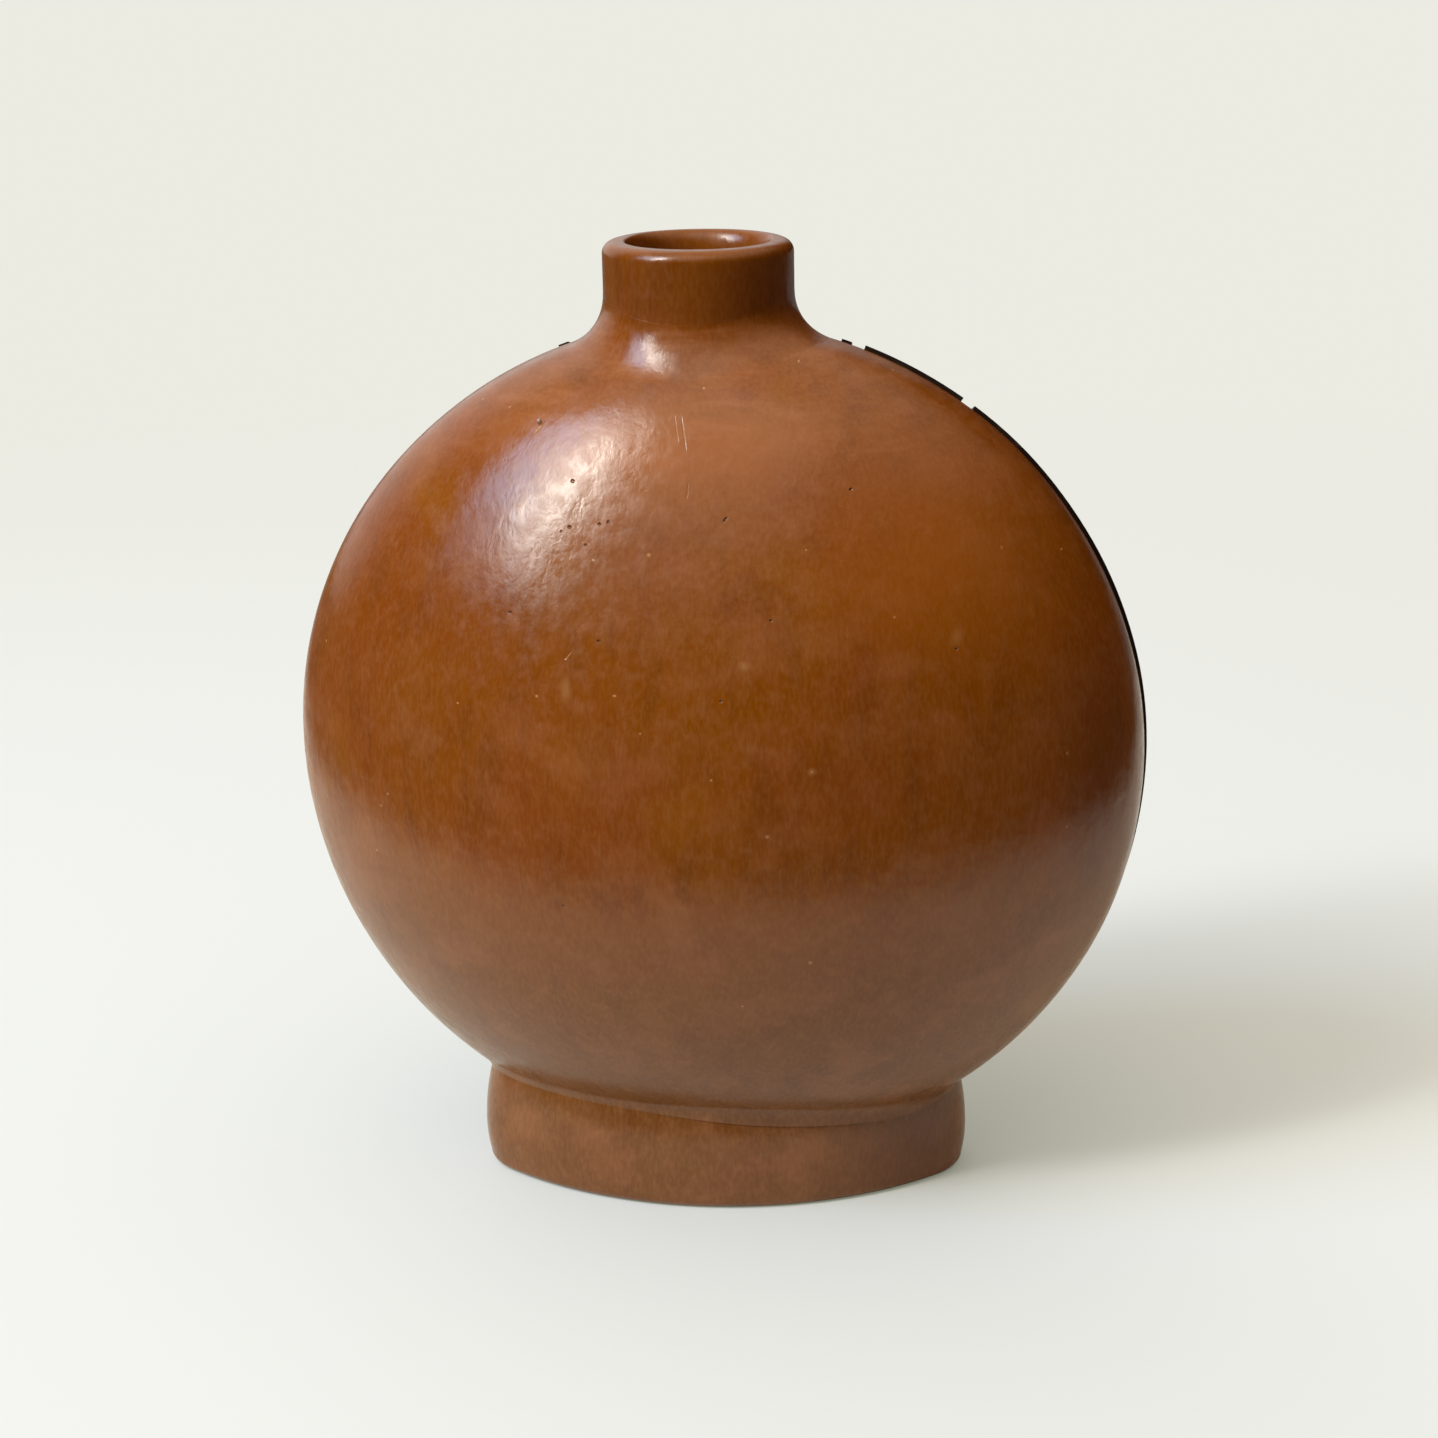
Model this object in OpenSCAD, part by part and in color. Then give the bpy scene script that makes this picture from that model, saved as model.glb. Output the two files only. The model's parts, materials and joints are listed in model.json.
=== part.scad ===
// Pilgrim flask of burnished red clay: a round, flattened body on an oval foot ring,
// with a short straight neck. Millimetres, +Z up, front towards -Y, table at Z = 0.
// The body is turned about a level axis (Y) and the neck about an upright one,
// so the collar between them is lofted round the neck by the functions below.

/* [Body] */
// Radius of the round body at its edge
body_r = 103; // [92:1:114]
// Half of the body's thickness, front to back
body_half_depth = 62; // [54:1:70]
// Radius of the rounding round the body's edge
edge_r = 25.5; // [20:0.5:30]
// Wall of the two pressed shells
shell_wall = 5.5; // [4:0.25:7]
// Height of the body's lowest point above the table
body_lift = 7; // [3:0.5:12]
// Radius of the coil pressed into the seam, inside
seam_coil_r = 6; // [4:0.5:8]
// How far the seam coil stands in from the shells
seam_coil_depth = 4; // [2:0.5:6]

/* [Neck] */
// Radius of the mouth and of the bore under it
mouth_r = 16.7; // [13:0.1:20]
// How far the hole through the shells stands out from the neck's bore, all round
hole_ease = 1.2; // [0.6:0.1:3]
// Wall of the neck
neck_wall = 5.5; // [4:0.25:7]
// Sideways place of the neck, off the body's middle
neck_x = -2; // [-6:0.5:6]
// Height of the lip above the top of the body's edge
neck_rise = 18.8; // [15:0.2:30]
// Height of the coil that ends the neck
lip_h = 6; // [4:0.5:9]
// Radius on the outside of the lip
lip_outer_round = 2.7; // [1:0.1:3.5]
// Radius on the inside of the lip
lip_inner_round = 0.8; // [0.4:0.1:1.2]

/* [Neck collar] */
// Height above the body's edge at which the collar leaves the neck
collar_rise = 5.5; // [3:0.5:8]
// Reach of the collar past the neck along the body's edge
collar_side_reach = 9; // [6:0.5:14]
// Reach of the collar past the neck down the front and back
collar_face_reach = 20; // [12:0.5:26]
// Height over which the collar's curve leaves the neck
collar_neck_drop = 6; // [3:0.5:8]
// Thickness left at the collar's thinned edges
collar_feather = 0.2; // [0.1:0.05:0.5]

/* [Foot] */
// Half of the foot's length, at its widest height
foot_half_length = 60.7; // [52:0.1:68]
// Half of the foot's width, at its widest height
foot_half_width = 32.4; // [28:0.1:38]
// Radius of the foot's two ends, in plan
foot_end_r = 16; // [13:0.5:24]
// Wall of the foot ring
foot_wall = 8.5; // [6:0.25:10]
// Turn of the foot under the body
foot_turn = 5.6; // [-8:0.2:8]
// Shift of the foot towards the back
foot_back = 1.2; // [-3:0.2:3]
// Height at which the foot's wall is widest
foot_bulge_z = 10.4; // [7:0.2:14]
// How far the foot's wall draws in again at the table
foot_bulge = 1.65; // [0.8:0.05:2.5]
// Radius of the foot's upright curve above its widest height
foot_shoulder_r = 60; // [40:5:120]
// Rounding of the foot's outer bottom edge
foot_outer_round = 2.8; // [1.5:0.1:3.5]
// Rounding of the foot's inner bottom edge
foot_inner_round = 1.6; // [0.8:0.1:2]

/* [Foot coils] */
// Reach of the outer coil up the body
foot_coil_reach = 4; // [2:0.25:6]
// Reach of the outer coil down the foot
foot_coil_drop = 3.5; // [2:0.25:5]
// Radius of the coil inside the foot
inner_coil_r = 4; // [3:0.5:5]

/* [Back relief] */
// Height of the black panels above the clay
relief_h = 1; // [0.6:0.1:1.6]
// Height of the worn pads beside the neck
worn_relief_h = 0.6; // [0.4:0.1:1]
// Distance of the panels' front edge behind the body's seam
relief_back = 5.3; // [3:0.1:9]
// Width of the border that the panels make, in from the body's edge
border_w = 19; // [15:1:27]
// Radius of the lobes on the border's inner side
lobe_r = 7.4; // [5:0.1:9]
// Width of the bare channels between panels
channel_w = 3.3; // [2:0.1:5]
// Angle of the channel at the upper right, from the level
first_channel = 54; // [50:1:58]

/* [Hidden] */
$fn = 128;
clay = "#9b5a2b";
neck_clay = "#874618";
foot_clay = "#8f5d38";
black_slip = "#1d1613";

// Clearance of the lofted coils from what they are smoothed onto
seat_gap = 0.1;
// Cutters run past what they cut by this much
past = 1;
half_turn = 180;

// Section of the body: an edge arc runs tangent into a dome arc
edge_centre = body_r - edge_r;
dome_r = (pow(body_r, 2) + pow(body_half_depth, 2) - 2 * body_r * edge_r)
    / (2 * (body_half_depth - edge_r));
dome_offset = dome_r - body_half_depth;
joint_angle = atan2(dome_offset, edge_centre);
body_z = body_r + body_lift;

neck_r = mouth_r + neck_wall;
hole_r = mouth_r + hole_ease;
lip_top = body_z + body_r + neck_rise;
lip_base = lip_top - lip_h;
collar_top = body_z + body_r + collar_rise;
collar_slices = 72;
collar_steps = 9;
collar_seat_steps = 4;
// Shares of the collar's reach over which its curve settles onto the body
collar_side_share = 2 / 3;
collar_face_share = 0.7;
// The body's slope under the collar's edge is taken this far to each side
slope_step = 0.5;

// Plan of the foot: two flank arcs tangent to two end arcs
flank_r = (pow(foot_half_length, 2) + pow(foot_half_width, 2)
    - 2 * foot_half_length * foot_end_r) / (2 * (foot_half_width - foot_end_r));
flank_centre = flank_r - foot_half_width;
end_centre = foot_half_length - foot_end_r;
flank_half_angle = atan2(end_centre, flank_centre);
end_half_angle = 90 - flank_half_angle;
bulge_r = (pow(foot_bulge_z, 2) + pow(foot_bulge, 2)) / (2 * foot_bulge);
// The ring starts this far inside the body and is cut back to its surface
foot_bury = 10;
foot_top = body_z - sqrt(pow(body_r, 2) - pow(foot_half_length, 2)) + foot_bury;
foot_flank_steps = 24;
foot_end_steps = 12;
coil_steps = 6;
coil_seat_steps = 3;
// Share of the outer coil's reach that bends its curve
coil_pull = 0.33;

// Border on the back: panels between channels a fifth of a turn apart, all angles from the level
border_r = body_r - border_w;
fifth = 72;
lobe_pitch = 11;
neck_pad_turn = 3.2;
bare_turn = 10;
// Where the border stops beside the collar and above the foot's outer coil
neck_right_angle = acos((neck_x + neck_r + collar_side_reach) / body_r);
neck_left_angle = half_turn - acos((neck_r + collar_side_reach - neck_x) / body_r);
foot_angle = acos((foot_half_length + foot_coil_reach) / body_r);

function square_of(v) = v * v;

// Radius of the body, grown by a distance, at a depth before or behind the seam
function body_radius(depth, grow = 0) =
    let (d = abs(depth))
    d < (edge_r + grow) * sin(joint_angle)
        ? edge_centre + sqrt(square_of(edge_r + grow) - d * d)
        : sqrt(square_of(dome_r + grow) - square_of(d + dome_offset));

// Height of the body above (+1) or below (-1) its middle, at a point in plan
function body_side(x, y, side, grow = 0) =
    body_z + side * sqrt(square_of(body_radius(y, grow)) - x * x);

function bezier(p, t) =
    pow(1 - t, 3) * p[0] + 3 * t * pow(1 - t, 2) * p[1] + 3 * t * t * (1 - t) * p[2] + pow(t, 3) * p[3];

// Faces of a closed tube of points: rings side by side, each ring a closed loop
function tube_faces(rings, loop) = [
    for (i = [0 : rings - 1], j = [0 : loop - 1])
        let (i2 = (i + 1) % rings, j2 = (j + 1) % loop,
             a = i * loop + j, b = i * loop + j2, c = i2 * loop + j2, d = i2 * loop + j)
        each [[a, b, c], [a, c, d]]
];

// Half of the body's section, grown by a distance: across is radius, up is depth
module half_section(grow) {
    far = 2 * dome_r;
    intersection() {
        translate([0, -dome_offset]) circle(r = dome_r + grow);
        polygon([[0, 0], [edge_centre, 0],
            [edge_centre + far * cos(joint_angle), far * sin(joint_angle)], [0, far]]);
    }
    intersection() {
        translate([edge_centre, 0]) circle(r = edge_r + grow);
        square(far);
    }
}

// Turns a section about the body's level axis, front half or back half
module turned_front() {
    translate([0, 0, body_z]) rotate([90, 0, 0]) rotate_extrude() children();
}

module turned_back() {
    translate([0, 0, body_z]) rotate([-90, 0, 0]) rotate_extrude() children();
}

module body_solid(grow = 0) {
    turned_front() {
        half_section(grow);
        mirror([0, 1]) half_section(grow);
    }
}

// A round cutter from the body's middle up through the neck
module bored(r) {
    translate([neck_x, 0, body_z]) cylinder(r = r, h = lip_top - body_z + past);
}

module shell_section() {
    difference() {
        half_section(0);
        half_section(-shell_wall);
    }
}

module front_shell() {
    color(clay) difference() {
        turned_front() shell_section();
        bored(hole_r);
    }
}

module back_shell() {
    color(clay) difference() {
        turned_back() shell_section();
        bored(hole_r);
    }
}

// Flattened coil along the inside of the seam, open under the neck
module seam_coil() {
    inside_r = body_r - shell_wall;
    color(clay) difference() {
        turned_front() intersection() {
            translate([inside_r - seam_coil_depth + seam_coil_r, 0]) circle(r = seam_coil_r);
            union() {
                half_section(-shell_wall);
                mirror([0, 1]) half_section(-shell_wall);
            }
        }
        bored(hole_r);
    }
}

// Straight tube, cut to a saddle that seats on both shells
module neck_tube() {
    color(neck_clay) difference() {
        translate([neck_x, 0, body_z]) cylinder(r = neck_r, h = lip_base - body_z);
        body_solid();
        bored(mouth_r);
    }
}

module lip_section() {
    difference() {
        translate([mouth_r, 0]) square([neck_wall, lip_h]);
        translate([neck_r - lip_outer_round, lip_h - lip_outer_round]) difference() {
            square(lip_outer_round + past);
            circle(r = lip_outer_round);
        }
        translate([mouth_r + lip_inner_round, lip_h - lip_inner_round]) difference() {
            mirror([1, 0]) square(lip_inner_round + past);
            circle(r = lip_inner_round);
        }
    }
}

module lip_coil() {
    color(neck_clay) translate([neck_x, 0, lip_base]) rotate_extrude() lip_section();
}

// Point of the collar at an angle round the neck, a radius out and a height
function round_neck(angle, r, z) = [neck_x + r * cos(angle), r * sin(angle), z];

function on_body(angle, r, grow) =
    let (p = round_neck(angle, r, 0)) body_side(p[0], p[1], 1, grow);

// One slice of the collar: its curve from neck to body, its seat, and its neck side
function collar_slice(angle) =
    let (across = square_of(sin(angle)),
         end_r = neck_r + collar_side_reach + (collar_face_reach - collar_side_reach) * across,
         side_pull = collar_side_reach * collar_side_share,
         pull = side_pull + (collar_face_reach * collar_face_share - side_pull) * across,
         inner_r = neck_r + seat_gap,
         skin = seat_gap + collar_feather,
         end_z = on_body(angle, end_r, skin),
         slope = (on_body(angle, end_r + slope_step, skin) - on_body(angle, end_r - slope_step, skin))
             / (2 * slope_step),
         top_r = inner_r + collar_feather,
         curve = [[top_r, collar_top], [top_r, collar_top - collar_neck_drop],
             [end_r - pull, end_z - slope * pull], [end_r, end_z]])
    concat(
        [for (k = [0 : collar_steps])
            let (q = bezier(curve, k / collar_steps)) round_neck(angle, q[0], q[1])],
        [for (k = [0 : collar_seat_steps])
            let (r = end_r + (inner_r - end_r) * k / collar_seat_steps)
            round_neck(angle, r, on_body(angle, r, seat_gap))],
        [round_neck(angle, inner_r, collar_top)]
    );

// Coil smoothed outwards from the neck to the body, longer down the two faces
module neck_collar() {
    loop = collar_steps + collar_seat_steps + 3;
    color(neck_clay) polyhedron(
        points = [for (i = [0 : collar_slices - 1]) each collar_slice(360 * i / collar_slices)],
        faces = tube_faces(collar_slices, loop)
    );
}

// Draw-in of the foot's wall at a height above the table
function foot_inset(z) =
    let (r = z < foot_bulge_z ? bulge_r : foot_shoulder_r)
    r - sqrt(square_of(r) - square_of(z - foot_bulge_z));

// Stretch of the foot's wall between two heights, curved about its widest height
module foot_stretch(r, from, to) {
    intersection() {
        translate([-r, foot_bulge_z]) circle(r = r);
        translate([-foot_wall, from]) square([foot_wall, to - from]);
    }
}

// Wall of the foot: barrelled outside, plumb inside, rounded where it meets the table
module foot_section() {
    round_x = sqrt(square_of(bulge_r - foot_outer_round) - square_of(foot_bulge_z - foot_outer_round))
        - bulge_r;
    ray = atan2(foot_outer_round - foot_bulge_z, round_x + bulge_r);
    far = 4 * foot_outer_round;
    difference() {
        union() {
            foot_stretch(bulge_r, 0, foot_bulge_z);
            foot_stretch(foot_shoulder_r, foot_bulge_z, foot_top);
        }
        translate([round_x, foot_outer_round]) difference() {
            polygon([[0, 0], [0, -far], [far, -far], [far * cos(ray), far * sin(ray)]]);
            circle(r = foot_outer_round);
        }
        translate([foot_inner_round - foot_wall, foot_inner_round]) difference() {
            mirror([1, 1]) square(foot_inner_round + past);
            circle(r = foot_inner_round);
        }
    }
}

// A section turned from the plane where it stands, about the centre of an arc of this radius
module arc_sweep(r, turn) {
    translate([-r, 0, 0]) rotate_extrude(angle = turn + past) translate([r, 0]) children();
}

// A quarter of the foot: from the point where the two arcs touch, one runs each way
module foot_quarter() {
    touch_x = flank_r * sin(flank_half_angle);
    touch_y = foot_end_r * sin(end_half_angle);
    intersection() {
        translate([touch_x, touch_y, 0]) rotate([0, 0, end_half_angle]) {
            arc_sweep(flank_r, flank_half_angle) children();
            mirror([0, 1, 0]) arc_sweep(foot_end_r, end_half_angle) children();
        }
        translate([0, 0, -past]) cube([2 * foot_half_length, 2 * foot_half_length, foot_top + 2 * past]);
    }
}

// Carries a section all round the foot's plan
module along_foot() {
    translate([0, foot_back, 0]) rotate([0, 0, foot_turn])
        for (side = [0, 1], face = [0, 1])
            mirror([side, 0, 0]) mirror([0, face, 0]) foot_quarter() children();
}

module foot_ring() {
    color(foot_clay) difference() {
        along_foot() foot_section();
        body_solid();
    }
}

// Place and outward angle of a point on the foot's plan, before the foot is turned
function flank_spot(angle) = [flank_r * cos(angle), flank_centre + flank_r * sin(angle), angle];
function end_spot(angle) = [end_centre + foot_end_r * cos(angle), foot_end_r * sin(angle), angle];
function half_plan() = concat(
    [for (k = [0 : foot_flank_steps - 1])
        flank_spot(-90 - flank_half_angle + 2 * flank_half_angle * k / foot_flank_steps)],
    [for (k = [0 : foot_end_steps - 1])
        end_spot(-end_half_angle + 2 * end_half_angle * k / foot_end_steps)]
);
foot_plan = concat(half_plan(), [for (s = half_plan()) [-s[0], -s[1], s[2] + half_turn]]);

// The same point moved out by a distance and turned with the foot, at a height
function foot_point(spot, out, z) =
    let (x = spot[0] + out * cos(spot[2]), y = spot[1] + out * sin(spot[2]))
    [x * cos(foot_turn) - y * sin(foot_turn), x * sin(foot_turn) + y * cos(foot_turn) + foot_back, z];
function under_body(spot, out, grow) =
    let (p = foot_point(spot, out, 0)) body_side(p[0], p[1], -1, grow);

// The inner coil is pressed in level, at the lowest point of the body along the foot's inner face
inner_coil_z = min([for (spot = foot_plan) under_body(spot, -foot_wall, 0)]);

// Coil in the corner between the foot's inner face and the body
module foot_inner_coil() {
    color(foot_clay) difference() {
        along_foot() translate([-foot_wall, inner_coil_z]) intersection() {
            union() {
                circle(r = inner_coil_r);
                translate([-inner_coil_r, 0]) square([inner_coil_r, foot_top - inner_coil_z]);
            }
            translate([-inner_coil_r, -inner_coil_r]) square([inner_coil_r, foot_top]);
        }
        body_solid();
    }
}

// How far out the foot's wall meets the body, found in a few steps from a first guess
function crease_out(spot, out = 0, steps = 5) =
    steps == 0 ? out : crease_out(spot, -foot_inset(under_body(spot, out, 0)), steps - 1);

function coil_slice(spot) =
    let (wall_out = crease_out(spot) + seat_gap,
         corner_z = under_body(spot, wall_out, seat_gap),
         low_z = corner_z - foot_coil_drop,
         low_out = seat_gap - foot_inset(low_z),
         skin = seat_gap + collar_feather,
         top_out = wall_out + foot_coil_reach,
         pull_out = wall_out + foot_coil_reach * coil_pull,
         curve = [[low_out + collar_feather, low_z],
             [wall_out + collar_feather, corner_z - foot_coil_drop * coil_pull],
             [pull_out, under_body(spot, pull_out, skin)],
             [top_out, under_body(spot, top_out, skin)]])
    concat(
        [for (k = [0 : coil_steps])
            let (q = bezier(curve, k / coil_steps)) foot_point(spot, q[0], q[1])],
        [for (k = [0 : coil_seat_steps])
            let (out = top_out - foot_coil_reach * k / coil_seat_steps)
            foot_point(spot, out, under_body(spot, out, seat_gap))],
        [foot_point(spot, low_out, low_z)]
    );

// Coil smoothed into the crease between the foot and the body
module foot_outer_coil() {
    color(foot_clay) polyhedron(
        points = [for (spot = foot_plan) each coil_slice(spot)],
        faces = tube_faces(len(foot_plan), coil_steps + coil_seat_steps + 3)
    );
}

// Plan of one panel of the border, seen along the body's axis, between two angles
module panel_plan(from, to) {
    far = 2 * body_r;
    turns = max(1, floor((to - from) / lobe_pitch));
    intersection() {
        difference() {
            circle(r = far);
            circle(r = border_r);
        }
        rotate(from) translate([0, channel_w / 2]) square([far, far]);
        rotate(to) translate([0, -far - channel_w / 2]) square([far, far]);
    }
    if (to - from > 2 * lobe_pitch) {
        for (k = [0 : turns - 1]) rotate(from + (to - from) * (k + 0.5) / turns)
            translate([border_r, 0]) circle(r = lobe_r);
    }
}

// Raised panel: a skin on the back shell, cut to its plan and behind the seam
module panel(from, to, height) {
    color(black_slip) intersection() {
        turned_back() difference() {
            half_section(height);
            half_section(0);
        }
        translate([0, body_half_depth + past, body_z]) rotate([90, 0, 0])
            linear_extrude(height = body_half_depth + past - relief_back) panel_plan(from, to);
    }
}

module relief_right() { panel(first_channel - fifth, first_channel, relief_h); }
module relief_upper_right() { panel(first_channel, neck_right_angle - neck_pad_turn, relief_h); }
module relief_neck_right() { panel(neck_right_angle - neck_pad_turn, neck_right_angle, worn_relief_h); }
module relief_neck_left() { panel(neck_left_angle, neck_left_angle + neck_pad_turn, worn_relief_h); }
module relief_left() { panel(half_turn - first_channel + bare_turn, first_channel + 2 * fifth, relief_h); }
module relief_lower_left() { panel(first_channel + 2 * fifth, half_turn + foot_angle, relief_h); }
module relief_lower_right() { panel(-foot_angle, first_channel - fifth, relief_h); }

front_shell();
back_shell();
seam_coil();
neck_tube();
neck_collar();
lip_coil();
foot_ring();
foot_outer_coil();
foot_inner_coil();
relief_right();
relief_upper_right();
relief_neck_right();
relief_neck_left();
relief_left();
relief_lower_left();
relief_lower_right();
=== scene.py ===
import functools
import json
import math
from bisect import bisect_left

import bpy
from bpy.props import FloatProperty, FloatVectorProperty, IntProperty, PointerProperty
from mathutils import Matrix, Vector, noise

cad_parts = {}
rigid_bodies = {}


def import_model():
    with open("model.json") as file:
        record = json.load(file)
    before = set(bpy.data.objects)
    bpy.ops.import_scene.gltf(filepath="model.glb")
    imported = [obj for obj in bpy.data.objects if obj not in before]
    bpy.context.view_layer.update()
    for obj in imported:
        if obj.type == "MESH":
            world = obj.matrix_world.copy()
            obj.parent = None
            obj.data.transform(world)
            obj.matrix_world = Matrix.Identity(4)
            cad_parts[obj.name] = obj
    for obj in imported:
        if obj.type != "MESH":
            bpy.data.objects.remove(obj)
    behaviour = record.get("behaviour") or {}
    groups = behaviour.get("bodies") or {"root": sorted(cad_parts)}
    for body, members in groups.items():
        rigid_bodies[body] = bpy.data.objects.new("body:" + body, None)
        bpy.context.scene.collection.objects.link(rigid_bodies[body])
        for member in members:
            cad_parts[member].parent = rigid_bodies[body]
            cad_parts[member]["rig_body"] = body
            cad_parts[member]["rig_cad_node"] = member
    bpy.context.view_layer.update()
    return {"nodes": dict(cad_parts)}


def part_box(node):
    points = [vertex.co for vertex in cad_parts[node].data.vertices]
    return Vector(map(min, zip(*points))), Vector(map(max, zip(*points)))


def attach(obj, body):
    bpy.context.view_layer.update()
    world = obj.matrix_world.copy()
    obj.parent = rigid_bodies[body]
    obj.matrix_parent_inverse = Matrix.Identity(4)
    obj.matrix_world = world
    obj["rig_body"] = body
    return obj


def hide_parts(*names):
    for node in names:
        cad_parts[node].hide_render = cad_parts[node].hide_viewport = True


bl_info = {
    "name": "Pilgrim flask",
    "version": (1, 0, 0),
    "blender": (4, 5, 0),
    "location": "3D View > Sidebar > Flask",
    "description": "Burnished clay flask: shells, neck, collar, foot and black border",
    "category": "Add Mesh",
}

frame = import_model()
MM = 0.001
SUNK = -0.04 * MM  # how far a piece's edge lies under the surface that it runs out on
TILTS = 360  # steps in the body's section, from its pole to its edge
SHELL_LOW, SHELL_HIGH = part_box("front_shell")
LIP_LOW, LIP_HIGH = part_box("lip_coil")
FOOT_LOW, FOOT_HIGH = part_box("foot_ring")
NECK_X = (LIP_LOW.x + LIP_HIGH.x) / 2
NECK_R = (LIP_HIGH.x - LIP_LOW.x) / 2
LIP_TOP = LIP_HIGH.z
LIP_BASE = LIP_LOW.z


def linear(hex_colour):
    """sRGB hex to the linear colour that a socket takes, with alpha."""
    parts = [int(hex_colour[i : i + 2], 16) / 255 for i in (1, 3, 5)]
    return [c / 12.92 if c <= 0.04045 else ((c + 0.055) / 1.055) ** 2.4 for c in parts] + [1.0]


def length(name, description, default):
    return FloatProperty(name=name, description=description, default=default, unit="LENGTH", precision=5)


def angle(name, description, degrees):
    return FloatProperty(name=name, description=description, default=math.radians(degrees), unit="ROTATION")


def colour(name, description, hex_colour):
    return FloatVectorProperty(
        name=name, description=description, subtype="COLOR", size=4, min=0, max=1, default=linear(hex_colour)
    )


class FlaskSizes(bpy.types.PropertyGroup):
    body_r: length("Body radius", "Radius of the round body at its edge", 103 * MM)
    half_depth: length("Half depth", "Half of the body's thickness", -SHELL_LOW.y)
    ease_from: angle("Dome's end", "Tilt of the surface at which the dome starts to tighten into the edge", 35)
    ease_to: angle("Edge's start", "Tilt of the surface from which the edge keeps its own rounding", 66)
    shoulder: length("Shoulder", "How much fuller than turned the front is below the neck", 7.5 * MM)
    shoulder_near: length("Shoulder's ridge", "Depth off the seam at which the shoulder is fullest", 31 * MM)
    shoulder_far: length("Shoulder's foot", "Depth off the seam at which the shoulder has run out", 60 * MM)
    wall: length("Shell wall", "Wall of the two shells", 5.5 * MM)
    neck_wall: length("Neck wall", "Wall of the neck and the lip", 5.5 * MM)
    hole_ease: length("Hole ease", "How far the hole through the shells stands out from the neck's bore", 1.2 * MM)
    lip_outer: length("Lip, outside", "Rounding on the lip's outer edge", 2.7 * MM)
    lip_inner: length("Lip, inside", "Rounding on the lip's inner edge", 0.8 * MM)
    lip_flare: length("Lip's flare", "How far the mouth's inner edge draws back at the back", 1.8 * MM)
    lip_ease: length("Lip's ease", "How far down the flare starts at the back", 4.2 * MM)
    collar_rise: length("Collar rise", "Height of the collar's top above the body's edge", 7 * MM)
    collar_low: length("Collar rise in front", "Height of the collar's top in front, above the body's edge", 2.2 * MM)
    collar_side: length("Collar at the sides", "Reach of the collar along the body's edge", 9 * MM)
    collar_face: length("Collar on the back", "Reach of the collar down the back", 18 * MM)
    collar_front: length("Collar in front", "Reach of the collar down the front", 6.5 * MM)
    collar_drop: length("Collar drop", "How far the collar stays close to the neck", 5.5 * MM)
    collar_share: FloatProperty(name="Collar share", description="Share of the reach that lies on the body's slope",
                                default=0.65, min=0.3, max=1)
    foot_end_r: length("Foot ends", "Radius of the foot's two ends in plan", 16 * MM)
    foot_half_length: length("Foot half length", "Half of the foot's length", 60.7 * MM)
    foot_half_width: length("Foot half width", "Half of the foot's width", 32.4 * MM)
    foot_wall: length("Foot wall", "Wall of the foot ring", 8.5 * MM)
    foot_back: length("Foot shift", "Shift of the foot towards the back", 1.2 * MM)
    foot_turn: angle("Foot turn", "Turn of the foot under the body", 5.6)
    foot_widest: length("Foot's widest height", "Height at which the foot is widest", 10.4 * MM)
    ridge: length("Tool's ridge", "Ledge left where a coil was smoothed down to a stop", 0.45 * MM)
    wobble: length("Hand wobble", "How far the hand-formed surface strays from true", 0.35 * MM)
    turns: IntProperty(name="Steps round", description="Steps round the body", default=216, min=48, max=360)


class FlaskColours(bpy.types.PropertyGroup):
    clay: colour("Clay", "Burnished clay", "#874703")
    clay_red: colour("Clay, red", "Redder passages of the slip", "#894218")
    clay_warm: colour("Clay, warm", "Brighter orange passages", "#915208")
    # Painted light: colour of the lighter patches on the upper body, where light from above falls
    clay_painted_light: colour("Clay, bright", "Passages fired brighter", "#a85c0e")
    # Dark clay of the pebble's strokes, also used as the painted shade on the foot's right and the body's right edge
    clay_dark_and_painted_shade: colour("Clay, dark", "Darker strokes of the pebble", "#5c2a06")
    pit: colour("Pits", "Small open pits", "#4a260c")
    # Brown mixed into the burnished clay towards the bottom of the body, into the inside clay, and into the slip
    # where it wears
    clay_brown: colour("Clay, brown", "Browner passages low on the body", "#6b421b")
    raw: colour("Raw clay", "Unburnished clay inside", "#9a5c34")
    veil: colour("Veil", "Pinkish veil of thin slip", "#a86a44")
    speck: colour("Specks", "Pale mineral specks", "#b88654")
    slip: colour("Black slip", "Black slipped border", "#1a1310")
    floor: colour("Floor", "Pale floor", "#e5e5da")
    floor_seen: colour("Floor, seen", "Pale floor as the camera sees it", "#ccd1d8")
    floor_fill: colour("Floor fill", "Light that evens out the floor as the camera sees it", "#6e7467")
    backdrop: colour("Backdrop", "Pale floor in the distance", "#ebebe2")
    table: colour("Table", "Dark table in front of the pale sheet", "#2c2824")


def smooth(x):
    x = min(1.0, max(0.0, x))
    return x * x * (3 - 2 * x)


def bump(angle, middle, half):
    """1 about the middle of a stretch of a ring, run out to 0 at half its width either way."""
    off = abs((angle - middle + math.pi) % (2 * math.pi) - math.pi)
    return smooth(1.5 * (1 - off / half))


def sizes():
    return bpy.context.scene.flask_sizes


def colours():
    return bpy.context.scene.flask_colours


def body_z():
    """Height of the body's middle: its lowest point is the shell box's floor."""
    return SHELL_LOW.z + sizes().body_r


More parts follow.
